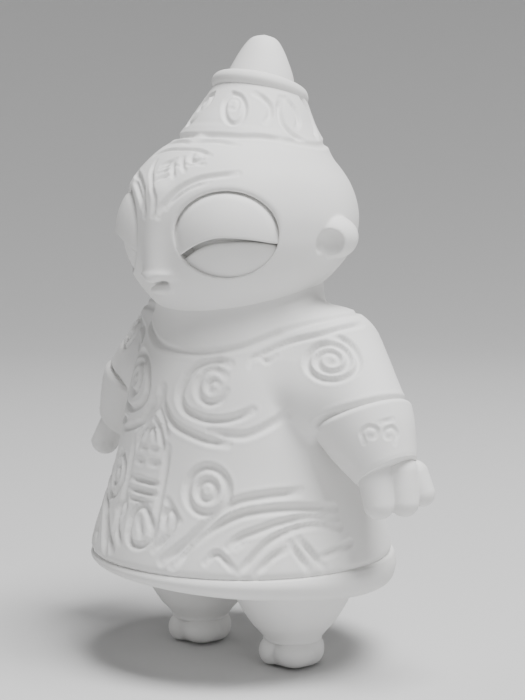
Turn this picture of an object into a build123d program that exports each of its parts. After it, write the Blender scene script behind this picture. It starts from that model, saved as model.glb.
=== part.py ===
from build123d import *

import os
from math import cos, radians, sin

# Standing goggle-eyed doll with a conical headdress, bell skirt, stub arms and round feet.
#
# Millimetres. +Z is up, the doll faces -Y and its left side is +X. The origin is on the ground, on the
# axis of the neck. Every casting is its own solid, joined by round pins.

# ---------------------------------------------------------------- driving dimensions
WALL = 3.5            # wall of the hollow castings
RUNNING = 0.05        # radial clearance of a pin that turns
SEAM = 0.15           # face clearance where one casting turns on another

NECK_Z = 116.0        # parting plane between the neck and the head
NECK_R = 27.4
SKIRT_Z = 35.4        # bottom of the skirt casting, top of the hem band
SKIRT_R = 49.4
HEM_Z = 28.4
HEM_R = 50.5
HEM_BORE_R = 44.0

HEAD_Y = -2.5         # the head is a little forward of the neck
HEAD_Z = 141.0        # height of its widest section
HEAD_R = 37.7

CROWN_Y = 2.8
CROWN_Z = 163.8
CROWN_TILT = 11.0     # the headdress leans back by this many degrees
CROWN_R = 22.0
CROWN_TOP_R = 16.0
CROWN_H = 17.0
RING_R = 12.9         # rolled ring: major and minor radius
RING_TUBE_R = 2.8
CONE_R = 11.4
CONE_H = 20.0

EYE_AZIMUTH = 37.2    # from straight ahead, to each side
EYE_ELEVATION = -4.5
EYE_HALF_W = 15.9
EYE_HALF_H = 13.0
LID_R = 40.0          # the upper lid bulges to this radius about the head's centre
LOWER_LID_R = 37.2
EYE_BED_R = 33.0
SLIT_DROP = 1.0       # the slit lies this far below the eye's centre

EAR_R = 6.9
EAR_OUT = 4.6         # how far the ear stands off the head
EAR_Z = 136.8

SHOULDER = Vector(33.0, 3.6, 97.6)
SHOULDER_R = 17.0
ARMPIT = Vector(34.4, -2.4, 88.6)  # the sleeve's fullness under the arm
ARMPIT_R = 15.6
ELBOW = Vector(47.4, 1.2, 84.0)    # the cuff's upper edge, where the arm bends
WRIST = Vector(60.0, 0.0, 66.8)
CUFF_TOP_R = 14.9
CUFF_END_R = 9.6
PALM = Vector(60.4, 1.6, 66.2)
PALM_R = 7.4
FINGERS = [           # root, centre of the tip, radius
    (Vector(59.0, -3.0, 65.6), Vector(61.0, -3.7, 58.6), 5.3),
    (Vector(63.2, 3.6, 65.8), Vector(64.6, 0.8, 58.6), 5.1),
    (Vector(66.0, 7.4, 66.0), Vector(67.0, 6.0, 61.4), 4.7),
]

LEG_X = 21.0
LEG_TOP_Z = 29.4
LEG_TOP_R = 20.4
ANKLE_Z = 9.3
ANKLE_R = 10.2
FOOT_R = 10.7

NECK_PIN_R = 5.0
NECK_PIN_HEAD_R = 9.0
SMALL_PIN_R = 2.5

os.makedirs("parts", exist_ok=True)


def leaning_back(origin, degrees):
    """A plane at origin whose normal leans from +Z towards +Y by degrees."""
    normal = Vector(0, sin(radians(degrees)), cos(radians(degrees)))
    return Plane(origin=origin, x_dir=(1, 0, 0), z_dir=normal)


def save(part, label):
    part.label = label
    export_step(part, f"parts/{label}.step")
    return part


def save_pair(left_part, name):
    """Writes the left piece and its mirror image."""
    save(left_part, f"left_{name}")
    save(mirror(left_part, about=Plane.YZ), f"right_{name}")


crown_plane = leaning_back((0, CROWN_Y, CROWN_Z), CROWN_TILT)


def square_to(start, end):
    """A plane at start whose normal points to end, with X in the plane of the arm."""
    direction = (end - start).normalized()
    across = Vector(0, 1, 0).cross(direction).normalized()
    return Plane(origin=start, x_dir=across, z_dir=direction)


upper_arm_plane = square_to(SHOULDER, ELBOW)
forearm_plane = square_to(ELBOW, WRIST)
CUFF_L = (WRIST - ELBOW).length


# ---------------------------------------------------------------- torso: neck, bodice and skirt in one hollow casting
OUTER_FLANK = [
    (SKIRT_R, SKIRT_Z),
    (47.5, 44.8),
    (43.4, 58.0),
    (40.6, 68.0),
    (38.2, 80.0),
    (35.3, 93.0),
    (31.8, 103.0),
    (29.0, 110.4),
    (NECK_R, NECK_Z),
]
NECK_FLOOR_Z = 108.0

with BuildPart() as torso_blank:
    with BuildSketch(Plane.XZ):
        with BuildLine():
            Spline(OUTER_FLANK, tangents=[(-0.1, 1), (0, 1)])
            Line(OUTER_FLANK[-1], (0, NECK_Z))
            Line((0, NECK_Z), (0, SKIRT_Z))
            Line((0, SKIRT_Z), OUTER_FLANK[0])
        make_face()
    revolve(axis=Axis.Z)

INNER_FLANK = [(r - WALL - 0.1, z) for r, z in OUTER_FLANK[:-2]] + [(23.0, NECK_FLOOR_Z)]

with BuildPart() as torso_shell:
    add(torso_blank.part)
    with BuildSketch(Plane.XZ):
        with BuildLine():
            Spline(INNER_FLANK, tangents=[(-0.1, 1), (-0.5, 1)])
            Line(INNER_FLANK[-1], (0, NECK_FLOOR_Z))
            Line((0, NECK_FLOOR_Z), (0, SKIRT_Z))
            Line((0, SKIRT_Z), INNER_FLANK[0])
        make_face()
    revolve(axis=Axis.Z, mode=Mode.SUBTRACT)
    with Locations((0, 0, NECK_Z)):
        Hole(NECK_PIN_R, depth=NECK_Z - NECK_FLOOR_Z)

torso_solid = torso_blank.part

# ---------------------------------------------------------------- hem band and base plate
with BuildPart() as hem_band:
    with BuildSketch(Plane.XZ):
        with BuildLine():
            Spline(
                [(SKIRT_R + 0.2, SKIRT_Z), (HEM_R, SKIRT_Z - 3.2), (HEM_BORE_R + 1.6, HEM_Z)],
                tangents=[(1, -0.6), (-1, -0.25)],
            )
            Line((HEM_BORE_R + 1.6, HEM_Z), (HEM_BORE_R, HEM_Z))
            Line((HEM_BORE_R, HEM_Z), (HEM_BORE_R, SKIRT_Z))
            Line((HEM_BORE_R, SKIRT_Z), (SKIRT_R + 0.2, SKIRT_Z))
        make_face()
    revolve(axis=Axis.Z)

PLATE_T = 3.5
with BuildPart() as base_plate:
    with BuildSketch(Plane.XY.offset(LEG_TOP_Z)):
        Circle(HEM_BORE_R)
    extrude(amount=PLATE_T)
    with Locations((LEG_X, 0, LEG_TOP_Z + PLATE_T), (-LEG_X, 0, LEG_TOP_Z + PLATE_T)):
        Hole(SMALL_PIN_R, depth=PLATE_T)

# ---------------------------------------------------------------- neck pin: pressed into the neck, the head turns on it
HEAD_FLOOR_TOP_Z = 124.0
with BuildPart() as neck_pin:
    with BuildSketch(Plane.XY.offset(NECK_FLOOR_Z)):
        Circle(NECK_PIN_R)
    extrude(amount=HEAD_FLOOR_TOP_Z + SEAM - NECK_FLOOR_Z)
    with BuildSketch(Plane.XY.offset(HEAD_FLOOR_TOP_Z + SEAM)):
        Circle(NECK_PIN_HEAD_R)
    extrude(amount=2.5)
    chamfer(neck_pin.edges().filter_by(GeomType.CIRCLE).group_by(Axis.Z)[-1], 0.8)

# ---------------------------------------------------------------- head
HEAD_FLANK = [
    (34.2, HEAD_Z - 13.0),
    (36.9, HEAD_Z - 7.0),
    (HEAD_R, HEAD_Z),
    (36.6, HEAD_Z + 9.0),
    (33.6, HEAD_Z + 15.0),
    (28.2, HEAD_Z + 21.4),
    (22.0, HEAD_Z + 26.0),
]
HEAD_BASE = (25.0, NECK_Z + SEAM)
with BuildPart() as head_blank:
    with BuildSketch(Plane.XZ):
        with BuildLine():
            Spline([HEAD_BASE] + HEAD_FLANK, tangents=[(0.35, 1), (-1, 0.42)])
            Line(HEAD_FLANK[-1], (0, HEAD_FLANK[-1][1]))
            Line((0, HEAD_FLANK[-1][1]), (0, HEAD_BASE[1]))
            Line((0, HEAD_BASE[1]), HEAD_BASE)
        make_face()
    revolve(axis=Axis.Z)

JAW_CENTRE = (0.0, -10.5, 128.5)
JAW_R = 26.5
JAW_HALF_H = 16.0
with BuildPart() as jaw:
    with BuildSketch(Plane.XZ):
        Ellipse(JAW_R, JAW_HALF_H)
        with Locations((-JAW_R, 0)):
            Rectangle(2 * JAW_R, 4 * JAW_HALF_H, mode=Mode.SUBTRACT)
    revolve(axis=Axis.Z)
jaw_placed = Pos(*JAW_CENTRE) * jaw.part

head_ball = Pos(0, HEAD_Y, 0) * head_blank.part
HEAD_CENTRE = Vector(0, HEAD_Y, HEAD_Z)


def eye_axis_plane(distance):
    """A plane square to the left eye's line of sight, this far from the head's centre, X to the side."""
    turn, lift = radians(EYE_AZIMUTH), radians(EYE_ELEVATION)
    out = Vector(sin(turn) * cos(lift), -cos(turn) * cos(lift), sin(lift))
    return Plane(origin=HEAD_CENTRE + out * distance, x_dir=(cos(turn), sin(turn), 0), z_dir=out)


with BuildPart() as eye_blank:
    with BuildSketch(eye_axis_plane(EYE_BED_R)):
        Ellipse(EYE_HALF_W, EYE_HALF_H)
    extrude(amount=LID_R - EYE_BED_R + 1)


def eye_slice(radius, above):
    """The part of the eye's block inside this radius, above or below the slit."""
    with BuildPart() as slice_part:
        add(eye_blank.part)
        with Locations(HEAD_CENTRE):
            Sphere(radius, mode=Mode.INTERSECT)
        level = eye_axis_plane(EYE_BED_R)
        cut = Plane(origin=level.origin - Vector(0, 0, SLIT_DROP), z_dir=(0, 0, 1))
        split(bisect_by=cut, keep=Keep.TOP if above else Keep.BOTTOM)
    return slice_part.part


upper_lid = eye_slice(LID_R, above=True)
lower_lid = eye_slice(LOWER_LID_R, above=False)

# ears: a rounded knob with a scoop that opens towards the face
EAR_TURN = 72.0
ear_direction = Vector(sin(radians(EAR_TURN)), -cos(radians(EAR_TURN)), 0)
ear_plane = Plane(
    origin=Vector(HEAD_R - 6.2, 2.0, EAR_Z), x_dir=(0, 0, 1), z_dir=ear_direction
)
with BuildPart() as ear_knob:
    with BuildSketch(ear_plane):
        Ellipse(EAR_R, EAR_R - 1.0)
    extrude(amount=6.2 + EAR_OUT)
    fillet(ear_knob.faces().sort_by(SortBy.DISTANCE).edges()[-1:], 2.6)
scoop_centre = ear_plane.origin + ear_direction * (6.2 + EAR_OUT) + Vector(0.5, -3.0, -0.8)
with BuildPart() as left_ear:
    add(ear_knob.part)
    with Locations(scoop_centre):
        Sphere(3.4, mode=Mode.SUBTRACT)

HEAD_OPENING_R = 10.0
HEAD_CAVITY = [
    (18.0, HEAD_FLOOR_TOP_Z),
    (26.4, HEAD_Z - 10.0),
    (28.6, HEAD_Z),
    (28.0, HEAD_Z + 8.0),
    (24.4, HEAD_Z + 15.0),
    (18.6, HEAD_Z + 19.4),
    (HEAD_OPENING_R, HEAD_Z + 21.4),
]
with BuildPart() as head_cavity:
    with BuildSketch(Plane.XZ):
        with BuildLine():
            Line((0, HEAD_FLOOR_TOP_Z), HEAD_CAVITY[0])
            Spline(HEAD_CAVITY)
            Line(HEAD_CAVITY[-1], (HEAD_OPENING_R, HEAD_Z + 40))
            Line((HEAD_OPENING_R, HEAD_Z + 40), (0, HEAD_Z + 40))
            Line((0, HEAD_Z + 40), (0, HEAD_FLOOR_TOP_Z))
        make_face()
    revolve(axis=Axis.Z)

with BuildPart() as crown_seat:
    with BuildSketch(crown_plane):
        Circle(CROWN_R + 10)
    extrude(amount=20)

with BuildPart() as neck_clearance:
    with BuildSketch(Plane.XY.offset(NECK_Z + SEAM)):
        Circle(NECK_R + 0.5)
    extrude(amount=-20, taper=-45)

with BuildPart() as head_shell:
    add(head_ball)
    add(jaw_placed)
    add(Pos(0, HEAD_Y, 0) * head_cavity.part, mode=Mode.SUBTRACT)
    add(crown_seat.part, mode=Mode.SUBTRACT)
    add(neck_clearance.part, mode=Mode.SUBTRACT)
    add(eye_blank.part, mode=Mode.SUBTRACT)
    add(mirror(eye_blank.part, about=Plane.YZ), mode=Mode.SUBTRACT)
    add(left_ear.part, mode=Mode.SUBTRACT)
    add(mirror(left_ear.part, about=Plane.YZ), mode=Mode.SUBTRACT)
    with Locations((0, 0, HEAD_FLOOR_TOP_Z)):
        Hole(NECK_PIN_R + RUNNING, depth=20)

# ---------------------------------------------------------------- headdress: crown, rolled ring and cone
SPIGOT_R = 8.0
SPIGOT_L = 3.0
with BuildPart() as crown:
    with BuildSketch(crown_plane):
        Circle(CROWN_R)
    with BuildSketch(crown_plane.offset(CROWN_H)):
        Circle(CROWN_TOP_R)
    loft()
    with BuildSketch(crown_plane):
        Circle(CROWN_R - WALL)
    with BuildSketch(crown_plane.offset(CROWN_H - WALL)):
        Circle(CROWN_TOP_R - WALL)
    loft(mode=Mode.SUBTRACT)
    with BuildSketch(crown_plane.offset(CROWN_H)):
        Circle(SPIGOT_R)
    extrude(amount=-WALL, mode=Mode.SUBTRACT)

with BuildPart() as crown_ring:
    with Locations(crown_plane.offset(CROWN_H + RING_TUBE_R)):
        Torus(RING_R, RING_TUBE_R)

cone_base = crown_plane.offset(CROWN_H)
with BuildPart() as cone:
    with BuildSketch(Plane.XZ):
        with BuildLine():
            Line((0, -SPIGOT_L), (SPIGOT_R, -SPIGOT_L))
            Line((SPIGOT_R, -SPIGOT_L), (SPIGOT_R, 0))
            Line((SPIGOT_R, 0), (CONE_R, 0))
            Line((CONE_R, 0), (CONE_R, 1.5))
            Spline(
                [(CONE_R, 1.5), (9.4, 9.4), (6.2, 16.2), (0, CONE_H)],
                tangents=[(-0.1, 1), (-1, 0)],
            )
            Line((0, CONE_H), (0, -SPIGOT_L))
        make_face()
    revolve(axis=Axis.Z)
crown_cone = cone_base.location * cone.part
ring_body = crown_ring.part - crown_cone

# ---------------------------------------------------------------- arms: sleeve, then cuff and hand on a steeper axis
ELBOW_PIN_L = 8.0
with BuildPart() as left_sleeve:
    with Locations(SHOULDER):
        Sphere(SHOULDER_R)
    with Locations(ARMPIT):
        Sphere(ARMPIT_R)
    with BuildSketch(upper_arm_plane):
        Circle(SHOULDER_R)
    with BuildSketch(forearm_plane):
        Circle(CUFF_TOP_R - 0.5)
    loft()
    with BuildSketch(forearm_plane):
        Rectangle(60, 60)
    extrude(amount=30, mode=Mode.SUBTRACT)
    add(torso_solid, mode=Mode.SUBTRACT)
    with BuildSketch(forearm_plane):
        Circle(SMALL_PIN_R)
    extrude(amount=-ELBOW_PIN_L, mode=Mode.SUBTRACT)

WRIST_PIN_L = 7.0
with BuildPart() as left_cuff:
    with BuildSketch(forearm_plane):
        Circle(CUFF_TOP_R)
    with BuildSketch(forearm_plane.offset(CUFF_L)):
        Circle(CUFF_END_R)
    loft()
    add(torso_solid, mode=Mode.SUBTRACT)
    with BuildSketch(forearm_plane):
        Circle(SMALL_PIN_R)
    extrude(amount=CUFF_L, mode=Mode.SUBTRACT)

with BuildPart() as left_hand:
    with Locations(PALM):
        Sphere(PALM_R)
    for root, tip, r in FINGERS:
        with BuildSketch(square_to(root, tip)):
            Circle(r)
        extrude(amount=(tip - root).length)
        with Locations(root, tip):
            Sphere(r)
    with BuildSketch(forearm_plane.offset(CUFF_L)):
        Rectangle(60, 60)
    extrude(amount=-30, mode=Mode.SUBTRACT)
    with BuildSketch(forearm_plane.offset(CUFF_L)):
        Circle(SMALL_PIN_R)
    extrude(amount=WRIST_PIN_L, mode=Mode.SUBTRACT)

with BuildPart() as left_arm_pin:
    with BuildSketch(forearm_plane.offset(-ELBOW_PIN_L)):
        Circle(SMALL_PIN_R)
    extrude(amount=ELBOW_PIN_L + CUFF_L + WRIST_PIN_L)

# ---------------------------------------------------------------- legs and feet
LEG_FLANK = [(LEG_TOP_R, LEG_TOP_Z), (18.4, 23.2), (14.6, 16.0), (ANKLE_R, ANKLE_Z)]
with BuildPart() as leg_at_origin:
    with BuildSketch(Plane.XZ):
        with BuildLine():
            Spline(LEG_FLANK)
            Line(LEG_FLANK[-1], (0, ANKLE_Z))
            Line((0, ANKLE_Z), (0, LEG_TOP_Z))
            Line((0, LEG_TOP_Z), LEG_FLANK[0])
        make_face()
    revolve(axis=Axis.Z)
    with Locations((0, 0, LEG_TOP_Z)):
        Hole(SMALL_PIN_R, depth=LEG_TOP_Z - ANKLE_Z)
left_leg = Pos(LEG_X, 0, 0) * leg_at_origin.part

FOOT_TOP_Z = ANKLE_Z
FOOT_PIN_L = 5.5
with BuildPart() as foot_at_origin:
    with BuildSketch(Plane.XY):
        Ellipse(FOOT_R, FOOT_R + 1.0)
    extrude(amount=FOOT_TOP_Z)
    fillet(foot_at_origin.edges().group_by(Axis.Z)[0], 3.0)
    fillet(foot_at_origin.edges().group_by(Axis.Z)[-1], 2.0)
    with BuildSketch(Plane.XY):
        with Locations((0, -FOOT_R - 1.4)):
            Rectangle(1.0, 4.0)
    extrude(amount=FOOT_TOP_Z, mode=Mode.SUBTRACT)
    with Locations((0, 0, FOOT_TOP_Z)):
        Hole(SMALL_PIN_R, depth=FOOT_PIN_L)
left_foot = Pos(LEG_X, 0, 0) * foot_at_origin.part

with BuildPart() as leg_pin_at_origin:
    with BuildSketch(Plane.XY.offset(FOOT_TOP_Z - FOOT_PIN_L)):
        Circle(SMALL_PIN_R)
    extrude(amount=LEG_TOP_Z + PLATE_T - FOOT_TOP_Z + FOOT_PIN_L)
left_leg_pin = Pos(LEG_X, 0, 0) * leg_pin_at_origin.part

# ---------------------------------------------------------------- write every piece
save(torso_shell.part, "torso_shell")
save(hem_band.part, "hem_band")
save(base_plate.part, "base_plate")
save(neck_pin.part, "neck_pin")
save(head_shell.part, "head_shell")
save(crown.part, "crown")
save(ring_body, "crown_ring")
save(crown_cone, "crown_cone")
save_pair(upper_lid, "upper_eyelid")
save_pair(lower_lid, "lower_eyelid")
save_pair(left_ear.part, "ear")
save_pair(left_sleeve.part, "sleeve")
save_pair(left_cuff.part, "cuff")
save_pair(left_hand.part, "hand")
save_pair(left_arm_pin.part, "arm_pin")
save_pair(left_leg, "leg")
save_pair(left_foot, "foot")
save_pair(left_leg_pin, "leg_pin")
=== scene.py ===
"""Looks of the standing goggle-eyed doll: smooth cast forms with soft scrolls and glyphs cut into them.

Shapes are worked out in millimetres as distance fields, meshed, and scaled to metres at the end.
+Z is up, the doll faces -Y and its left side is +X, as in the frame.
"""

from math import cos, pi, radians, sin

import bpy
import numpy as np
import openvdb
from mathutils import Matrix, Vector


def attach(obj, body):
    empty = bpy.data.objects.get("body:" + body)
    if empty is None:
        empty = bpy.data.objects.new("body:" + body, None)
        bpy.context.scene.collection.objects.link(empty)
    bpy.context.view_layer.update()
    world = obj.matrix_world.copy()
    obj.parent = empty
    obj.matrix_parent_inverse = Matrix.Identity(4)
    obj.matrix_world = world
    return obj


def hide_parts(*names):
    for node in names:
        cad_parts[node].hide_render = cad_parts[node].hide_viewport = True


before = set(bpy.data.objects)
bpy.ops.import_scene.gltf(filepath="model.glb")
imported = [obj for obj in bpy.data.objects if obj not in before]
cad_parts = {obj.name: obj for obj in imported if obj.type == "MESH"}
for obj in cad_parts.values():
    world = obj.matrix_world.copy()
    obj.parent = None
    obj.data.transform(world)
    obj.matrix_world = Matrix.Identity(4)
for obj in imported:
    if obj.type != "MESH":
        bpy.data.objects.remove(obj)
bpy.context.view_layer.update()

MM = 0.001
VOXEL = 0.5
HEAD_VOXEL = VOXEL * 1.07
DRESS_VOXEL = VOXEL * 1.4
HEM_VOXEL = VOXEL * 1.1
LEG_VOXEL = VOXEL * 0.8
SMALL_VOXEL = VOXEL * 0.7
FOOT_VOXEL = VOXEL * 0.6

# the section of a groove: how much of its half width is cut, how flat its bottom and how soft its
# edges are, and the slight lip raised beside it
GROOVE_CORE = 0.86
GROOVE_FLAT = 2.2
GROOVE_SOFT = 1.3
LIP_HEIGHT = 0.09
LIP_AT = 1.35
LIP_WIDTH = 0.3
# an open groove fades to a share of its depth at its tips, over a run given in half widths
TIP_SHARE = 0.2
TIP_RUN = 2.4
CLOSED_GAP = 0.7


# ---------------------------------------------------------------- small maths
def vec(*values):
    return np.array(values, dtype=float)


def unit(v):
    v = np.asarray(v, dtype=float)
    return v / np.linalg.norm(v)


def smooth_line(points, step=0.5):
    """A Catmull-Rom curve through the points, sampled about every step."""
    p = np.asarray(points, dtype=float)
    if len(p) == 2:
        p = np.array([p[0], (p[0] + p[1]) / 2, p[1]])
    ends = np.vstack([2 * p[0] - p[1], p, 2 * p[-1] - p[-2]])
    out = []
    for a, b, c, d in zip(ends, ends[1:], ends[2:], ends[3:]):
        n = max(2, int(np.linalg.norm(c - b) / step))
        t = np.linspace(0, 1, n, endpoint=False)[:, None]
        out.append(0.5 * (2 * b + (c - a) * t + (2 * a - 5 * b + 4 * c - d) * t**2
                          + (3 * b - a - 3 * c + d) * t**3))
    out.append(p[-1:])
    return np.vstack(out)


def smooth_min(a, b, k):
    h = np.clip(0.5 + 0.5 * (b - a) / k, 0, 1)
    return b + (a - b) * h - k * h * (1 - h)


def smooth_max(a, b, k):
    return -smooth_min(-a, -b, k)


def distance_to_line(points, line):
    """Distance from each point to a polyline, in any number of dimensions."""
    a, b = line[:-1], line[1:]
    ab = b - a
    length2 = np.maximum((ab**2).sum(1), 1e-12)
    best = np.full(len(points), 1e9)
    for start, along, l2 in zip(a, ab, length2):
        rel = points - start
        t = np.clip(rel @ along / l2, 0, 1)
        best = np.minimum(best, ((rel - t[:, None] * along)**2).sum(1))
    return np.sqrt(best)


# ---------------------------------------------------------------- distance fields
class Axes:
    """A local frame: origin, an axis h, and two directions square to it."""

    def __init__(self, origin, axis, front=(0, -1, 0)):
        self.o = vec(*origin)
        self.h = unit(axis)
        front = np.asarray(front, dtype=float)
        self.f = unit(front - (front @ self.h) * self.h)
        self.s = np.cross(self.h, self.f)

    def local(self, points):
        d = points - self.o
        return d @ self.s, d @ self.f, d @ self.h

    def world(self, s, f, h):
        return self.o + np.outer(s, self.s) + np.outer(f, self.f) + np.outer(h, self.h)


class Lathe:
    """The distance to a turned shape, read from a fine table of distances to its outline."""

    CELL = 0.2

    def __init__(self, outline, axes, flatten=1.0):
        self.axes = axes
        self.flatten = flatten
        line = smooth_line(outline, 0.25)
        margin = 9.0
        self.low = line[:, 1].min() - margin
        r = np.arange(0, line[:, 0].max() + margin, self.CELL)
        h = np.arange(self.low, line[:, 1].max() + margin, self.CELL)
        rr, hh = np.meshgrid(r, h, indexing="ij")
        flat = np.stack([rr.ravel(), hh.ravel()], 1)
        d = distance_to_line(flat, line[::2] if len(line) > 400 else line)
        self.table = np.where(self.inside(flat, line), -d, d).reshape(rr.shape)

    @staticmethod
    def inside(points, line):
        ring = np.vstack([line, [[-1.0, line[-1, 1]], [-1.0, line[0, 1]], line[0]]])
        hit = np.zeros(len(points), dtype=bool)
        x, y = points[:, 0], points[:, 1]
        for (x0, y0), (x1, y1) in zip(ring[:-1], ring[1:]):
            if y0 == y1:
                continue
            crosses = (y0 > y) != (y1 > y)
            hit ^= crosses & (x < (x1 - x0) * (y - y0) / (y1 - y0) + x0)
        return hit

    def __call__(self, points):
        s, f, h = self.axes.local(points)
        r = np.hypot(s, f * self.flatten)
        i = np.clip(r / self.CELL, 0, self.table.shape[0] - 1.001)
        j = np.clip((h - self.low) / self.CELL, 0, self.table.shape[1] - 1.001)
        i0, j0 = i.astype(int), j.astype(int)
        a, b = i - i0, j - j0
        t = self.table
        return ((1 - a) * ((1 - b) * t[i0, j0] + b * t[i0, j0 + 1])
                + a * ((1 - b) * t[i0 + 1, j0] + b * t[i0 + 1, j0 + 1]))


def round_cone(points, a, b, ra, rb):
    """A cone between two balls."""
    a, b = np.asarray(a, float), np.asarray(b, float)
    ab = b - a
    t = np.clip((points - a) @ ab / (ab @ ab), 0, 1)
    nearest = a + t[:, None] * ab
    return np.linalg.norm(points - nearest, axis=1) - (ra + (rb - ra) * t)


def ball(points, centre, radii):
    """An ellipsoid; the distance is exact enough near its surface."""
    d = points - np.asarray(centre, float)
    r = np.asarray(radii, float)
    k0 = np.linalg.norm(d / r, axis=1)
    k1 = np.linalg.norm(d / r**2, axis=1)
    return k0 * (k0 - 1) / np.maximum(k1, 1e-6)


# ---------------------------------------------------------------- meshing and carving
def gradient(field, points, eps=0.25):
    g = np.empty_like(points)
    for k in range(3):
        step = np.zeros(3)
        step[k] = eps
        g[:, k] = (field(points + step) - field(points - step)) / (2 * eps)
    return g


def settle(field, points, rounds=2):
    """Moves points onto the surface of the field and gives the outward directions there."""
    for _ in range(rounds):
        g = gradient(field, points)
        g2 = np.maximum((g**2).sum(1), 0.05)
        points = points - (field(points) / g2)[:, None] * g
    g = gradient(field, points)
    return points, g / np.maximum(np.linalg.norm(g, axis=1), 1e-6)[:, None]


def cut_depth(points, cuts):
    """How far each point is pushed in by the soft-edged grooves, which grow shallow towards their ends."""
    depth = np.zeros(len(points))
    for line, half_width, deep in cuts:
        low, high = line.min(0) - 2 * half_width, line.max(0) + 2 * half_width
        near = np.nonzero(((points > low) & (points < high)).all(1))[0]
        if len(near) == 0:
            continue
        d = distance_to_line(points[near], line) / (GROOVE_CORE * half_width)
        lip = LIP_HEIGHT * np.exp(-((d - LIP_AT) / LIP_WIDTH)**2)
        push = deep * ((1 - np.clip(d, 0, 1)**GROOVE_FLAT)**GROOVE_SOFT - lip)
        is_open = np.linalg.norm(line[0] - line[-1]) > CLOSED_GAP
        if is_open:
            tip = np.minimum(np.linalg.norm(points[near] - line[0], axis=1),
                             np.linalg.norm(points[near] - line[-1], axis=1))
            push *= TIP_SHARE + (1 - TIP_SHARE) * np.clip(tip / (TIP_RUN * half_width), 0, 1)
        depth[near] = np.where(abs(push) > abs(depth[near]), push, depth[near])
    return depth


def mesh_object(name, points, quads, tris=()):
    mesh = bpy.data.meshes.new(name)
    faces = [tuple(q) for q in quads.tolist()] + [tuple(t) for t in tris]
    mesh.from_pydata((points * MM).tolist(), [], faces)
    mesh.validate()
    mesh.polygons.foreach_set("use_smooth", [True] * len(mesh.polygons))
    obj = bpy.data.objects.new(name, mesh)
    bpy.context.scene.collection.objects.link(obj)
    return obj


def sculpt(name, field, low, high, voxel, cuts=()):
    """Meshes the zero surface of a field inside a box, then presses the cuts into it."""
    low, high = vec(*low), vec(*high)
    counts = np.ceil((high - low) / voxel).astype(int) + 1
    xs, ys, zs = (low[k] + voxel * np.arange(counts[k]) for k in range(3))
    block = np.empty(tuple(counts), dtype=np.float32)
    yy, zz = np.meshgrid(ys, zs, indexing="ij")
    rows = 8
    for i in range(0, counts[0], rows):
        x = xs[i:i + rows]
        pts = np.empty((len(x),) + yy.shape + (3,))
        pts[..., 0] = x[:, None, None]
        pts[..., 1] = yy
        pts[..., 2] = zz
        block[i:i + rows] = field(pts.reshape(-1, 3)).reshape((len(x),) + yy.shape)
    reach = 3.0
    grid = openvdb.FloatGrid(reach)
    grid.copyFromArray(np.clip(block, -reach, reach))
    points, tris, quads = grid.convertToPolygons(0.0, 0.0)
    points = low + voxel * np.asarray(points, dtype=float)
    points, normals = settle(field, points)
    quads = np.asarray(quads, dtype=int)[:, ::-1]
    tris = np.asarray(tris, dtype=int)[:, ::-1] if len(tris) else np.zeros((0, 3), int)
    if cuts:
        points = points - cut_depth(points, cuts)[:, None] * normals
    first = quads[0]
    side = np.cross(points[first[1]] - points[first[0]], points[first[2]] - points[first[0]])
    if side @ normals[first[0]] < 0:
        quads, tris = quads[:, ::-1], tris[:, ::-1]
    return mesh_object(name, points, quads, tris.tolist())


# ---------------------------------------------------------------- forms
HEAD = vec(0, -2, 141)
HEAD_R = 37.0
CROWN_TILT = 11.0
RING_TILT = 17.0
CONE_TILT = 8.0


def leaning(degrees):
    return vec(0, sin(radians(degrees)), cos(radians(degrees)))


crown_axes = Axes((0, 4.2, 168.4), leaning(CROWN_TILT))
ring_axes = Axes((0, 6.9, 182.6), leaning(RING_TILT))
cone_axes = Axes((0, 6.7, 183.0), leaning(CONE_TILT))
upright = Axes((0, -2.0, 0), (0, 0, 1))

head_turned = Lathe([(0, 110.5), (8, 111), (16, 112.6), (21.6, 115.2), (25.6, 118.3), (30.8, 123.5),
                     (34.5, 128.7), (36.9, 134), (37.8, 139), (37.8, 144), (36.6, 149.4), (34.2, 154.6),
                     (30.2, 159.8), (25.2, 164.6), (18, 168.4), (10, 170), (0, 170.6)],
                    Axes((0, 0, 0), (0, 0, 1)))


def soft_above(x, width):
    """Zero below nought and x above it, with a soft corner."""
    return width * np.logaddexp(0, x / width)


def head_middle(z):
    """Where the head's round sections are centred, going up: the jaw juts and the brow leans back."""
    return -2.2 - 0.34 * soft_above(134.5 - z, 3.0) + 0.55 * soft_above(z - 164, 3.0)


def head_ball(p):
    q = p.copy()
    q[:, 1] -= head_middle(p[:, 2])
    return head_turned(q)


crown_turned = Lathe([(0, -14), (20, -14), (22.6, -4), (21.8, 0), (19.4, 5), (16.8, 10), (14.4, 14.2),
                      (12, 15.8), (0, 15.8)], crown_axes)
ring_turned = Lathe([(10.5, 0), (11.5, -2.0), (13.2, -2.6), (15.0, -1.9), (15.8, 0), (15.0, 1.9),
                     (13.2, 2.6), (11.5, 2.0), (10.5, 0)], ring_axes)
cone_turned = Lathe([(0, -4), (8, -4), (11.2, -1), (11.3, 1), (10.3, 5.0), (8.3, 9.6), (6.1, 13.6),
                     (3.8, 16.2), (0, 17.4)], cone_axes)

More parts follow.
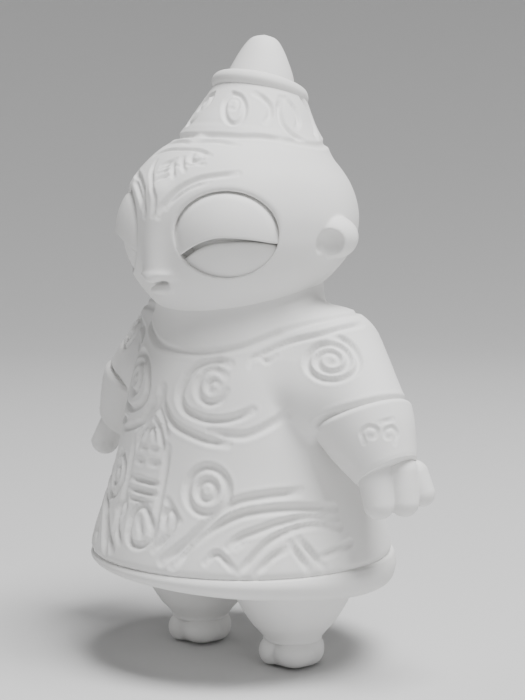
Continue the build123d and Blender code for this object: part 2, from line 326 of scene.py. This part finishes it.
HEM_Z = 35.4
FLATTEN = 1.04      # the bell is a little narrower from front to back
dress_bell = Lathe([(0, HEM_Z), (30, HEM_Z), (47.6, HEM_Z), (48.9, HEM_Z + 0.5), (49.5, HEM_Z + 1.6),
                    (49.2, 39), (47.6, 44.5), (43.6, 57), (40.8, 67), (38.2, 80), (35.4, 93), (33.0, 100),
                    (30.6, 106), (28.4, 112), (27.2, 118), (26.8, 122), (25.0, 124), (0, 124)],
                   upright, flatten=FLATTEN)
hem_turned = Lathe([(0, 35.6), (40, 35.6), (48.4, 35.5), (50.1, 34.6), (50.5, 32.8), (49.3, 30.4),
                    (46.4, 28.9), (43.0, 28.4), (30, 28.6), (0, 28.6)], upright, flatten=FLATTEN)

# the left arm; the right arm sits closer in and a little higher
SHOULDER = vec(33.6, 3.8, 98.6)
SHOULDER_R = 17.0
ARMPIT = vec(34.4, -2.4, 88.6)
ARMPIT_R = 15.6
ELBOW = vec(47.4, 1.2, 84.0)
ELBOW_R = 14.5
CREASE_R = 14.6
WRIST = vec(60, 0.0, 66.8)
CUFF_L = float(np.linalg.norm(WRIST - ELBOW))
FOREARM = unit(WRIST - ELBOW)
ARM_OUT = unit(vec(1, 0, 0) - FOREARM[0] * FOREARM)
RIGHT_ARM = vec(-1.8, 0, 3.0)

# the goggle eyes: a shallow oval pit, filled by a domed upper lid and a lower lid
EYE_TURN = 37.2
EYE_LIFT = -4.5
EYE_W = 15.9
EYE_H = 13.0
EYE_DEPTH = 7.0

eye_out = vec(sin(radians(EYE_TURN)) * cos(radians(EYE_LIFT)),
              -cos(radians(EYE_TURN)) * cos(radians(EYE_LIFT)), sin(radians(EYE_LIFT)))
eye_axes = Axes(HEAD + HEAD_R * eye_out, eye_out, front=(0, 0, 1))


def eye_local(q):
    """Outward across the face, up, and out of the eye, for the left eye."""
    s, f, h = eye_axes.local(q)
    return -s, f, h


def oval(u, v, grow=0.0):
    k = np.hypot(u / (EYE_W + grow), v / (EYE_H + grow))
    return (k - 1) * (EYE_H + grow) * 0.9


def slit(u):
    """Height of the slit: flat towards the ear, falling to the low inner corner."""
    return -0.4 - np.where(u > 0, 0.011, 0.031) * u**2


def mirrored(points):
    return np.stack([np.abs(points[:, 0]), points[:, 1], points[:, 2]], 1)


def arm_frame(p):
    """Points as the left arm sees them, for either arm."""
    q = mirrored(p)
    return np.where(p[:, :1] < 0, q - RIGHT_ARM, q)


def on_arm(points, side):
    """Points given for the left arm, moved to the arm on that side."""
    return (points + (RIGHT_ARM if side < 0 else 0)) * vec(side, 1, 1)


def crease_drop(q):
    """How far down the forearm the crease over the cuff lies; it slants, and is lowest on the outside."""
    return 1.6 + 0.2 * ((q - ELBOW) @ ARM_OUT)


EAR = vec(36.5, 2.6, 137.0)
EAR_SCOOP = vec(40.0, -3.7, 135.0)


def head_field(p):
    q = mirrored(p)
    d = head_ball(p)
    d = smooth_min(d, crown_turned(p), 5.0)
    # ridge between the eyes, flaring to a small beak of a nose over a pursed mouth
    ridge = round_cone(q, (0, -36.2, 150), (0, -38.8, 128.6), 2.0, 2.8)
    d = smooth_min(d, ridge, 6.0)
    mouth = ball(q, (0, -40.4, 123.2), (4.6, 5.2, 1.7))
    d = smooth_max(d, -mouth, 0.6)
    beak = ball(q, (0, -37.8, 125.8), (6.3, 4.6, 1.35))
    beak = smooth_min(beak, ball(q, (0, -40.6, 124.6), (2.2, 2.0, 1.3)), 2.0)
    d = smooth_min(d, beak, 2.0)
    lip = ball(q, (0, -36.4, 121.0), (3.5, 3.4, 1.7))
    d = smooth_min(d, lip, 0.9)
    # ears
    d = smooth_min(d, ball(q, EAR, (7.0, 6.9, 6.5)), 0.9)
    d = smooth_max(d, -ball(q, EAR_SCOOP, (5.2, 3.9, 4.8)), 0.4)
    # eye pits, their upper rims well rounded
    u, v, h = eye_local(q)
    pit = smooth_max(oval(u, v), -EYE_DEPTH - h, 0.5)
    return smooth_max(d, -pit, 0.5 + 1.5 * np.clip(v / 8 + 0.2, 0, 1))


def lid_field(q, upper):
    """A lid of the left eye: the upper one domed, the lower one set back under the slit."""
    u, v, h = eye_local(q)
    local = np.stack([u, v, h], 1)
    # the bottom of the groove between a lid and its rim, deepest at the top of the eye
    groove_depth = 0.3 + 2.4 * np.clip((v + 4) / 8, 0, 1)
    bottom = smooth_max(head_ball(q) + groove_depth, oval(u, v, 0.35), 0.2)
    if upper:
        dome = ball(local, (0, -2.0, -14.0), (21.0, 20.0, 17.2))
        d = smooth_max(dome, oval(u, v, -0.5), 1.8)
        d = smooth_min(d, np.maximum(bottom, slit(u) - v), 0.7)
        d = smooth_max(d, slit(u) - v, 0.6)
    else:
        dome = ball(local, (0, -2.0, -20.9), (25.0, 21.6, 21.6))
        opening = 1.9 - 1.3 * np.clip(u / 14, 0, 1)
        lid = smooth_max(dome, v - slit(u) + opening, 1.2)
        bed = smooth_max(dome + 4.4, v - slit(u) - 1.5, 0.4)
        d = smooth_max(np.minimum(lid, bed), oval(u, v, 0.25), 0.2)
    return smooth_max(d, 0.1 - EYE_DEPTH - h, 0.3)


def dress_field(p):
    """The bell with both sleeves grown out of it, each cut off just inside its cuff."""
    q = arm_frame(p)
    arm = round_cone(q, SHOULDER, ELBOW + 3 * unit(ELBOW - SHOULDER), SHOULDER_R, ELBOW_R)
    arm = smooth_min(arm, ball(q, ARMPIT, (ARMPIT_R, ARMPIT_R, ARMPIT_R)), 4.0)
    arm = smooth_max(arm, (q - ELBOW) @ FOREARM - crease_drop(q) - 2.6, 1.0)
    blend = 2.6 + 6.4 * np.clip((p[:, 2] - 86) / 14, 0, 1)
    return smooth_min(dress_bell(p), arm, blend)


def hem_field(p):
    """The band hangs a little lower at the doll's left and back."""
    height = 7.0
    lean = p[:, 0] + p[:, 1]
    drop = height + 0.042 * lean + 0.0004 * np.clip(lean, 0, 80)**2
    q = p - vec(0.5, 0.5, 0)
    q[:, 2] = HEM_Z - (HEM_Z - p[:, 2]) * height / drop
    return hem_turned(q)


def make_cuff_field():
    """A tapering cuff, its upper rim slanting with the crease."""
    outline = [(0, 0.2), (13.4, 0.3), (14.8, 0.7), (15.4, 1.6), (15.3, 3.0), (13.8, CUFF_L * 0.45),
               (11.0, CUFF_L - 3.4), (10.1, CUFF_L - 1.0), (8.8, CUFF_L - 0.1), (0, CUFF_L)]
    turned = Lathe(outline, Axes(ELBOW, FOREARM))

    def field(p):
        q = arm_frame(p)
        fade = np.clip(1 - (q - ELBOW) @ FOREARM / CUFF_L, 0, 1)
        return turned(q - (crease_drop(q) * fade)[:, None] * FOREARM)
    return field


# root, tip and thickness of each finger
FINGERS = [((58.4, -3.8, 67.4), (60.4, -4.3, 58.0), 5.6), ((63.2, 2.8, 67.0), (65.2, 1.8, 58.2), 5.2),
           ((64.4, 7.0, 65.6), (67.2, 7.6, 60.4), 4.8)]


def make_hand_field(side):
    """A mitten-like hand of three fused fingers hanging from the cuff; the right one spreads more."""
    def field(p):
        q = arm_frame(p)
        if side < 0:
            spread = np.clip((WRIST[2] + 2 - q[:, 2]) / 8, 0, 1)
            q = q + np.stack([-1.4 - 2.2 * spread, 1.4 * spread, -1.6 - 1.2 * spread], 1)
        d = ball(q, (60.4, 2.8, 66.6), (6.0, 7.0, 5.6))
        for root, tip, r in FINGERS:
            d = smooth_min(d, round_cone(q, root, tip, r, r - 0.7), 0.35)
        return smooth_max(d, (WRIST - q) @ FOREARM - 2.0, 0.6)
    return field


LEG_X = 21.0
LEG_OUTLINE = [(0, 31), (19, 31), (20.6, 29.4), (19.0, 24.2), (17.2, 20), (13.7, 14.4), (11.1, 11.4),
               (9.5, 9.4), (8.6, 8.2), (0, 8.2)]


def make_foot_field(side):
    """A short round foot, its front split into a small and a large toe, both feet alike."""
    centre = vec(LEG_X * side, 0, 0)

    def field(p):
        q = p - centre
        rim = np.maximum(np.hypot(q[:, 0] - 0.5, q[:, 1] - 0.6) - 4.9, 0)
        d = np.hypot(rim, np.maximum(np.abs(q[:, 2] - 5.0) - 0.5, 0)) - 4.5
        for x, y, r in ((-3.2, -6.0, 4.3), (4.0, -3.6, 6.6)):
            d = smooth_min(d, ball(q, (x, y, 4.9), (r, r, 4.8)), 0.5)
        return smooth_max(d, 0.25 - q[:, 2], 1.0)
    return field


# ---------------------------------------------------------------- carved lines
# about how many millimetres one degree spans, on the dress and on the head
DRESS_DEGREE = 0.65
HEAD_DEGREE = 0.6
DRESS_REACH = 75.0
HEAD_REACH = 56.0
STRIDES = 70
STRIDE = 0.7        # the share of the distance covered by each stride, short enough not to overshoot


def pressed_on(field, centre, out, reach):
    """Where rays running in towards a centre, or towards each of several, first meet a surface."""
    far = np.full(len(out), reach)
    for _ in range(STRIDES):
        far = far - STRIDE * field(centre + far[:, None] * out)
    return centre + far[:, None] * out


def on_dress(track, side=1):
    """A curve given as (degrees round from the front, height), laid on the dress."""
    t = smooth_line([(a * DRESS_DEGREE, z) for a, z in track], 0.6)
    turn = np.radians(t[:, 0] / DRESS_DEGREE) * side
    out = np.stack([np.sin(turn), -np.cos(turn), 0 * turn], 1)
    centre = np.stack([0 * turn, 0 * turn - 2, t[:, 1]], 1)
    return pressed_on(dress_field, centre, out, DRESS_REACH)


def on_head(track, side=1):
    """A curve given as (degrees round, degrees up) about the head's centre."""
    t = smooth_line([(a * HEAD_DEGREE, e * HEAD_DEGREE) for a, e in track], 0.6) / HEAD_DEGREE
    turn, lift = np.radians(t[:, 0]) * side, np.radians(t[:, 1])
    out = np.stack([np.sin(turn) * np.cos(lift), -np.cos(turn) * np.cos(lift), np.sin(lift)], 1)
    return pressed_on(head_field, HEAD, out, HEAD_REACH)


class Patch:
    """A flat patch touching a surface, for curves drawn in millimetres across and up."""

    def __init__(self, centre, outward, field):
        self.field = field
        self.axes = Axes(centre, outward, front=(0, 0, 1))

    def line(self, track):
        t = smooth_line(track, 0.5)
        return settle(self.field, self.axes.world(-t[:, 0], t[:, 1], 0 * t[:, 0]), 4)[0]


def spiral(start, end, turns, from_degrees, squash):
    """Points of a spiral about nought, its radius growing evenly from start to end."""
    n = int(18 * abs(turns)) + 4
    t = np.linspace(0, 1, n)
    a = radians(from_degrees) + 2 * pi * turns * t
    r = start + (end - start) * t
    return list(zip(r * np.cos(a), squash * r * np.sin(a)))


def ring(centre, radius, stretch):
    """Points of a ring, stretched sideways."""
    a = np.linspace(0, 2 * pi, 25)
    return list(zip(centre[0] + stretch * radius * np.cos(a), centre[1] + radius * np.sin(a)))


pieces = {}


def carve_dress():
    """Every groove in the dress, as a line in space with its half width and depth."""
    cuts = []

    def cut(track, half_width, depth, both=True, behind=False):
        for side in ((1, -1) if both else (1,)):
            cuts.append((on_dress(track, side), half_width, depth))
            if behind:
                cuts.append((on_dress([(180 - a, z) for a, z in track], side), half_width, depth))

    # neckline, deepest in front, and the second line that runs over each shoulder
    cut([(-180, 112.4), (-140, 112.6), (-110, 112.8), (-80, 112.2), (-55, 110.4), (-30, 106.6),
         (-10, 103.2), (12, 101.8), (28, 102.1), (48, 104.3), (72, 109), (89, 112.6), (110, 113.4),
         (140, 112.8), (180, 112.4)], 1.5, 0.7, False)
    cut([(-70, 111.8), (-55, 110.4), (-30, 106.6), (-10, 103.2), (12, 101.8), (28, 102.1), (48, 104.3),
         (72, 109)], 1.7, 1.3, False)
    cut([(52, 100.6), (62, 103.2), (76, 106.8), (88, 109.6), (98, 110.6)], 1.5, 1.2)
    cut([(49, 98.4), (51, 100.8), (55, 101.2), (58, 99.6), (63, 101.4)], 1.2, 0.9)
    # chest scrolls
    cut([(38.7, 99), (33, 99.6), (27, 99.3), (19.5, 97.5), (14.5, 94.3), (12, 90), (13, 87), (17, 84.3),
         (26, 82.4), (34.5, 82.1), (43, 83.2), (50, 85.2)], 1.8, 1.6, behind=True)
    cut([(36.5, 95.5), (31, 97.2), (25, 96.4), (21.8, 92.8), (23.4, 89), (28.6, 87.2), (34, 88), (37, 91)],
        1.6, 1.3, behind=True)
    cut([(33.5, 92.8), (31, 94), (28, 92.8), (28.6, 90.8), (31, 91)], 1.3, 1.2, behind=True)
    cut([(0.5, 91), (1, 87), (5, 83), (10.5, 80), (20, 77.6), (30, 75.8), (38.5, 75.2)],
        1.8, 1.6, behind=True)
    cut([(30, 78.6), (43, 77.6), (50, 78.4), (60, 81.4), (66, 84)], 1.9, 1.1)
    # ring with a dot
    cut(ring((30, 61.3), 6.8, 1.36), 1.7, 1.4, behind=True)
    cut(ring((30, 61.3), 2.9, 1.36), 1.5, 1.2, behind=True)
    # arcs over the skirt's sides
    cut([(14, 39.6), (18.6, 42.6), (24.5, 46.8), (30.6, 51.6), (36.7, 55.9), (43, 58.4), (53, 59.8),
         (70, 60.6)], 2.0, 1.7)
    cut([(19, 38.4), (22.4, 41.8), (26.3, 45.8), (33, 50.2), (40.7, 53.4), (47, 55), (57, 55.9),
         (68, 55.8), (84, 54.5)], 2.0, 2.0)
    cut([(39.6, 45), (44.3, 48), (52, 50.2), (60, 52), (71.5, 53), (84, 51.8)], 1.8, 1.7)
    cut([(44, 37.8), (49.5, 43), (55.8, 47.2), (65, 50), (75, 50.6), (85, 49)], 1.7, 1.8)
    cut([(49.8, 37.4), (55.5, 42), (61, 44.2)], 1.6, 1.6)
    cut([(63, 46), (69, 37.5)], 1.6, 1.6)
    cut([(66.5, 47), (75.5, 37.7)], 1.6, 1.6)
    cut([(73.7, 41), (89, 44)], 1.6, 1.4)
    cut([(42.7, 45), (46.5, 47.2)], 1.4, 1.1)
    cut([(31.5, 40.5), (35.7, 43.2), (41.5, 39)], 1.5, 1.6)
    # the same arcs sweep over the back
    cut([(176, 41), (166, 47), (156, 52), (149, 54.6), (142, 56)], 2.0, 1.3)
    cut([(172, 39.4), (163, 44.6), (154, 48.8), (146, 51)], 1.9, 1.4)
    cut([(161, 39), (153, 43), (145, 44.8)], 1.6, 1.3)
    # hooks beside the centre
    cut([(12, 57.5), (19, 51.8)], 1.4, 1.3)
    cut([(12.5, 50), (12, 53.5), (14.5, 55), (17, 53), (16, 49), (12, 44.5), (9.5, 42.5)], 1.4, 1.3)
    # column of signs down the front, set a few degrees towards the doll's right
    middle = -4.0
    for side in (1, -1):
        cut([(middle, 87.0), (middle + 5.5 * side, 82.4), (middle + 11 * side, 77.0)], 1.5, 1.4, False)
        cut([(middle, 82.2), (middle + 5 * side, 78.6), (middle + 9 * side, 73.6),
             (middle + 8 * side, 71.4)], 1.4, 1.3, False)
        cut([(middle + 2 * side, 71.6), (middle + 6.5 * side, 71.8)], 1.2, 1.3, False)
        cut([(middle + 2.5 * side, 67.4), (middle + 8 * side, 67.6)], 1.4, 1.3, False)
        cut([(middle + 12.5 * side, 73), (middle + 12 * side, 60), (middle + 12 * side, 45)],
            1.6, 1.0, False)
    cut([(middle - 3.4, 74.6), (middle - 1, 78.2), (middle + 1, 78.2), (middle + 3.4, 74.6)],
        1.2, 1.2, False)
    cut([(middle - 9, 62.2), (middle + 9, 61.7)], 1.4, 1.6, False)
    cut([(middle - 9, 58.9), (middle + 9, 58.6)], 1.4, 1.6, False)
    cut([(middle - 8, 56.2), (middle + 7, 56.0)], 1.2, 0.9, False)
    cut([(-6, 46), (-6.2, 51), (-2.4, 54.5), (2.5, 53.4), (6.4, 49), (6.6, 45.5), (3.0, 43), (-3, 43.2),
         (-6, 46)], 1.5, 1.4, False)
    cut([(-1.4, 51), (1.8, 46)], 1.4, 1.2, False)
    # the crease where each sleeve goes into its cuff
    a = np.linspace(0, 2 * pi, 90)
    crease = Axes(ELBOW, FOREARM).world(CREASE_R * np.cos(a), CREASE_R * np.sin(a), 0 * a)
    crease = crease + (crease_drop(crease) - 0.2)[:, None] * FOREARM
    for side in (1, -1):
        cuts.append((on_arm(crease, side), 2.0, 1.7))
    # scrolls on the front and the back of each shoulder
    front_scroll = ((45.4, -9.5, 100.6), (8, -13, 7), 10.0)
    back_scroll = ((43, 17, 97), (7, 15, 6), 8.0)
    for side in (1, -1):
        for centre, outward, reach in (front_scroll, back_scroll):
            patch = Patch(on_arm(vec(*centre), side), vec(*outward) * vec(side, 1, 1), dress_field)
            turned = side if centre[1] < 0 else -side
            coil = spiral(0.7, reach, 2.7, 200, 0.78)
            cuts.append((patch.line([(turned * x, y) for x, y in coil]), 1.5, 1.25))
    return cuts


def carve_cuff(form, side):
    """Two small curls and a stroke on the outer front of the cuff."""
    cuts = []
    patch = Patch(on_arm(vec(62.3, -6.4, 79.3), side), (7.2 * side, -6.9, 5.8), form)
    for track in ([(-4.8, -2.4), (-5.2, 0.8), (-3.4, 2.6), (-1.2, 1.6), (-1.8, -0.6), (-3.2, -0.4)],
                  [(4.6, -2.6), (4.9, 0.4), (3.2, 2.2), (1.2, 1.4), (1.6, -0.8), (3.0, -0.8)],
                  [(-0.4, 3.6), (3.2, 4.6)]):
        cuts.append((patch.line([(side * x, y) for x, y in track]), 1.1, 0.55))
    return cuts


def carve_head():
    """Every groove in the head and the crown."""
    cuts = []

    def cut(track, half_width, depth, both=True):
        for side in ((1, -1) if both else (1,)):
            cuts.append((on_head(track, side), half_width, depth))

    # brow lines over each eye
    cut([(4.5, 4), (5.5, 7), (8, 11), (12, 16), (18, 20), (26, 23), (43, 25.5)], 1.5, 1.0)
    cut([(8, 8), (12, 12.5), (19, 17.5), (28, 21)], 1.3, 0.9)
    # the line from the nose up to the far side of the forehead, which bounds the lattice of signs
    cut([(1.5, 4), (1, 12), (-4, 18), (-13, 26), (-18, 33)], 1.2, 0.65, False)
    cut([(-30, 37), (-17, 41.5), (3, 42), (15, 41), (25, 37)], 1.2, 0.9, False)
    for track in ([(-7, 30), (1, 34.5)], [(-6, 28), (0, 31)], [(-5, 25), (1.5, 28.5)],
                  [(-2.5, 20.5), (4.5, 25)], [(0.5, 33), (4, 27.5), (7.5, 23)],
                  [(6, 35.5), (9, 30.5), (13, 26.5)], [(11, 30.5), (16, 31)], [(4.5, 29.5), (9, 31)],
                  [(12, 39), (12.5, 35), (14.5, 33.2), (21, 34)], [(17, 39.5), (21, 37)],
                  [(18, 31.5), (23, 31)]):
        cut(track, 1.1, 1.0, False)
    # rim of the crown and the line under it
    cut([(0, 56), (24, 55), (45, 53), (62, 51.5), (80, 48)], 1.6, 1.0)
    cut([(72, 49.5), (98, 44), (118, 42), (150, 43), (180, 44)], 1.8, 0.7)
    cut([(0, 47.8), (12, 49.6), (27, 49), (42, 45.5)], 1.5, 0.8)
    # signs on the crown: a looped bulb and hooks towards the back
    cut([(28, 77.5), (19, 74), (22, 69), (29, 64), (38, 61.5), (47, 64), (50, 70), (44, 75), (28, 77.5)],
        1.2, 0.85)
    cut([(30, 73), (36, 74.5), (42, 72.5), (38, 69.5), (31, 70)], 1.1, 0.7)
    cut([(68, 74), (76, 71), (80, 67), (77, 63), (70, 60)], 1.4, 1.0)
    cut([(98, 68), (89, 64), (86, 58), (90, 51), (98, 46)], 1.4, 1.2)
    cut([(104, 67), (108, 62), (106, 57), (99, 54)], 1.3, 1.0)
    cut([(128, 66), (131, 58), (126, 51), (117, 47)], 1.5, 1.2)
    cut([(150, 66), (152, 57), (165, 53), (180, 56)], 1.5, 1.1)
    return cuts


def make_lid_field(upper):
    def field(p):
        return lid_field(mirrored(p), upper)
    return field


def build_figure():
    head = sculpt("head", head_field, (-44, -45, 108), (44, 38, 187), HEAD_VOXEL, carve_head())
    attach(head, "head")
    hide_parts("head_shell", "crown", "left_ear", "right_ear")
    pieces["head"] = head
    for name, field, low, high, node in (
            ("rolled_ring", ring_turned, (-17, -11, 176), (17, 24, 191), "crown_ring"),
            ("headdress_cone", cone_turned, (-13, -8, 177), (13, 20, 202), "crown_cone")):
        piece = sculpt(name, field, low, high, SMALL_VOXEL)
        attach(piece, "head")
        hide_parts(node)
        pieces[name] = piece
    dress = sculpt("dress", dress_field, (-68, -54, 33), (68, 52, 126), DRESS_VOXEL, carve_dress())
    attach(dress, "body")
    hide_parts("torso_shell", "left_sleeve", "right_sleeve")
    pieces["dress"] = dress
    hem = sculpt("hem", hem_field, (-53, -53, 24), (53, 49, 37.5), HEM_VOXEL)
    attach(hem, "body")
    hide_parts("hem_band", "base_plate")
    pieces["hem"] = hem
    for side, name in ((1, "left"), (-1, "right")):
        build_limbs(side, name)
        build_lids(side, name)


def build_limbs(side, name):
    near, far = sorted((25.0 * side, 80.0 * side))
    cuff_field = make_cuff_field()
    cuff = sculpt(f"{name}_cuff_look", cuff_field, (near, -20, 50), (far, 24, 104), SMALL_VOXEL,
                  carve_cuff(cuff_field, side))
    hand = sculpt(f"{name}_hand_look", make_hand_field(side), (near, -20, 44), (far, 24, 80), SMALL_VOXEL)
    leg_x = LEG_X * side
    leg_field = Lathe(LEG_OUTLINE, Axes((leg_x, 0, 0), (0, 0, 1)))
    leg = sculpt(f"{name}_leg_look", leg_field, (leg_x - 21, -21, 6), (leg_x + 21, 21, 31), LEG_VOXEL)
    foot = sculpt(f"{name}_foot_look", make_foot_field(side), (leg_x - 14, -16, -1), (leg_x + 14, 14, 13),
                  FOOT_VOXEL)
    for piece, part in ((cuff, "cuff"), (hand, "hand"), (leg, "leg"), (foot, "foot")):
        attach(piece, "body")
        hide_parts(f"{name}_{part}")
        pieces[f"{name}_{part}"] = piece
    # the dowel inside the arm is closed in by the hand
    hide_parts(f"{name}_arm_pin")


def build_lids(side, name):
    eye = eye_axes.o * vec(side, 1, 1)
    for upper, part in ((True, "upper_eyelid"), (False, "lower_eyelid")):
        piece = sculpt(f"{name}_{part}_look", make_lid_field(upper), eye - 19, eye + 19, SMALL_VOXEL)
        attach(piece, "head")
        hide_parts(f"{name}_{part}")
        pieces[f"{name}_{part}"] = piece


build_figure()


# ---------------------------------------------------------------- materials
def shader(name):
    material = bpy.data.materials.new(name)
    material.use_nodes = True
    nodes = material.node_tree.nodes
    return material, nodes, material.node_tree.links, nodes["Principled BSDF"]


def noise(nodes, links, coords, scale, detail=4.0, roughness=0.5):
    node = nodes.new("ShaderNodeTexNoise")
    node.inputs["Scale"].default_value = scale
    node.inputs["Detail"].default_value = detail
    node.inputs["Roughness"].default_value = roughness
    links.new(coords.outputs["Object"], node.inputs["Vector"])
    return node


def ramp(nodes, links, source, stops):
    node = nodes.new("ShaderNodeValToRGB")
    node.color_ramp.elements[0].position = stops[0][0]
    node.color_ramp.elements[0].color = stops[0][1]
    node.color_ramp.elements[1].position = stops[-1][0]
    node.color_ramp.elements[1].color = stops[-1][1]
    for position, color in stops[1:-1]:
        node.color_ramp.elements.new(position).color = color
    links.new(source, node.inputs["Fac"])
    return node


def cast_material():
    """Unpainted off-white casting: a bare matte skin with a faint cloudiness and a fine tooth."""
    material, nodes, links, skin = shader("bare_casting")
    coords = nodes.new("ShaderNodeTexCoord")
    cloud = noise(nodes, links, coords, 28.0, 3.0)
    tone = ramp(nodes, links, cloud.outputs["Fac"],
                [(0.30, (0.760, 0.755, 0.742, 1)), (0.55, (0.800, 0.797, 0.788, 1)),
                 (0.75, (0.825, 0.823, 0.818, 1))])
    links.new(tone.outputs["Color"], skin.inputs["Base Color"])
    gloss = noise(nodes, links, coords, 140.0, 4.0)
    rough = nodes.new("ShaderNodeMapRange")
    rough.inputs["To Min"].default_value = 0.52
    rough.inputs["To Max"].default_value = 0.72
    links.new(gloss.outputs["Fac"], rough.inputs["Value"])
    links.new(rough.outputs["Result"], skin.inputs["Roughness"])
    skin.inputs["Specular IOR Level"].default_value = 0.35
    tooth = noise(nodes, links, coords, 1500.0, 3.0, 0.6)
    swell = noise(nodes, links, coords, 120.0, 2.0)
    fine = nodes.new("ShaderNodeBump")
    fine.inputs["Strength"].default_value = 0.18
    fine.inputs["Distance"].default_value = 0.00006
    links.new(tooth.outputs["Fac"], fine.inputs["Height"])
    soft = nodes.new("ShaderNodeBump")
    soft.inputs["Strength"].default_value = 0.25
    soft.inputs["Distance"].default_value = 0.0002
    links.new(swell.outputs["Fac"], soft.inputs["Height"])
    links.new(fine.outputs["Normal"], soft.inputs["Normal"])
    links.new(soft.outputs["Normal"], skin.inputs["Normal"])
    return material


def dowel_material():
    """Plain beech dowel, with its grain along the pin."""
    material, nodes, links, skin = shader("dowel_wood")
    coords = nodes.new("ShaderNodeTexCoord")
    stretch = nodes.new("ShaderNodeMapping")
    stretch.inputs["Scale"].default_value = (900, 900, 40)
    links.new(coords.outputs["Object"], stretch.inputs["Vector"])
    grain = nodes.new("ShaderNodeTexNoise")
    grain.inputs["Scale"].default_value = 1.0
    links.new(stretch.outputs["Vector"], grain.inputs["Vector"])
    tone = ramp(nodes, links, grain.outputs["Fac"],
                [(0.3, (0.47, 0.31, 0.17, 1)), (0.7, (0.66, 0.48, 0.30, 1))])
    links.new(tone.outputs["Color"], skin.inputs["Base Color"])
    skin.inputs["Roughness"].default_value = 0.6
    bump = nodes.new("ShaderNodeBump")
    bump.inputs["Strength"].default_value = 0.2
    bump.inputs["Distance"].default_value = 0.0001
    links.new(grain.outputs["Fac"], bump.inputs["Height"])
    links.new(bump.outputs["Normal"], skin.inputs["Normal"])
    return material


def dress_with(obj, material):
    obj.data.materials.clear()
    obj.data.materials.append(material)


casting = cast_material()
dowel = dowel_material()
for piece in pieces.values():
    dress_with(piece, casting)
for name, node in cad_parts.items():
    for slot in node.material_slots:
        slot.material = dowel if name.endswith("_pin") else casting


# ---------------------------------------------------------------- camera, light and floor
LENS = 92.57
CAMERA_AT = Vector((0.4036, -0.4129, 0.1642))
CAMERA_AIM = Vector((0.0040, 0.0039, 0.0994))
FLAT_R = 0.9        # the flat part of the floor
SWEEP_OUT = 1.8     # how far the floor curls outwards and upwards beyond that
SWEEP_UP = 1.9
LIGHT_AIM = (0, 0, 0.11)

camera_data = bpy.data.cameras.new("camera")
camera_data.lens = LENS
camera_data.sensor_width = 36.0
camera = bpy.data.objects.new("camera", camera_data)
bpy.context.scene.collection.objects.link(camera)
camera.location = CAMERA_AT
camera.rotation_euler = (CAMERA_AIM - CAMERA_AT).to_track_quat("-Z", "Y").to_euler()
bpy.context.scene.camera = camera


def sweep_floor():
    """A flat disc that curls up far away on every side, so that no horizon shows."""
    steps, around = 24, 96
    points = [(0.0, 0.0, 0.0)]
    for step in range(steps + 1):
        turn = pi / 2 * step / steps
        r = FLAT_R + SWEEP_OUT * sin(turn)
        z = SWEEP_UP * (1 - cos(turn))
        points += [(r * cos(2 * pi * k / around), r * sin(2 * pi * k / around), z) for k in range(around)]
    faces = [(0, 1 + k, 1 + (k + 1) % around) for k in range(around)]
    for row in range(steps):
        a, b = 1 + row * around, 1 + (row + 1) * around
        faces += [(a + k, b + k, b + (k + 1) % around, a + (k + 1) % around) for k in range(around)]
    mesh = bpy.data.meshes.new("floor")
    mesh.from_pydata(points, [], faces)
    mesh.polygons.foreach_set("use_smooth", [True] * len(mesh.polygons))
    return mesh


floor = bpy.data.objects.new("floor", sweep_floor())
bpy.context.scene.collection.objects.link(floor)
floor_material, floor_nodes, floor_links, floor_skin = shader("pale_floor")
floor_skin.inputs["Base Color"].default_value = (0.62, 0.62, 0.62, 1)
floor_skin.inputs["Roughness"].default_value = 0.9
dress_with(floor, floor_material)


def area_light(name, location, power, size):
    data = bpy.data.lights.new(name, "AREA")
    data.energy = power
    data.size = size
    light = bpy.data.objects.new(name, data)
    bpy.context.scene.collection.objects.link(light)
    light.location = location
    light.rotation_euler = (Vector(LIGHT_AIM) - Vector(location)).to_track_quat("-Z", "Y").to_euler()


area_light("key", (0.42, 0.0, 1.35), 38, 0.7)
area_light("front", (1.0, -0.4, 0.45), 1.6, 0.6)
area_light("side", (-0.7, -0.8, 0.8), 0.6, 0.5)
world = bpy.data.worlds.new("world")
world.use_nodes = True
world.node_tree.nodes["Background"].inputs["Color"].default_value = (1.0, 1.0, 1.0, 1)
world.node_tree.nodes["Background"].inputs["Strength"].default_value = 0.18
bpy.context.scene.world = world
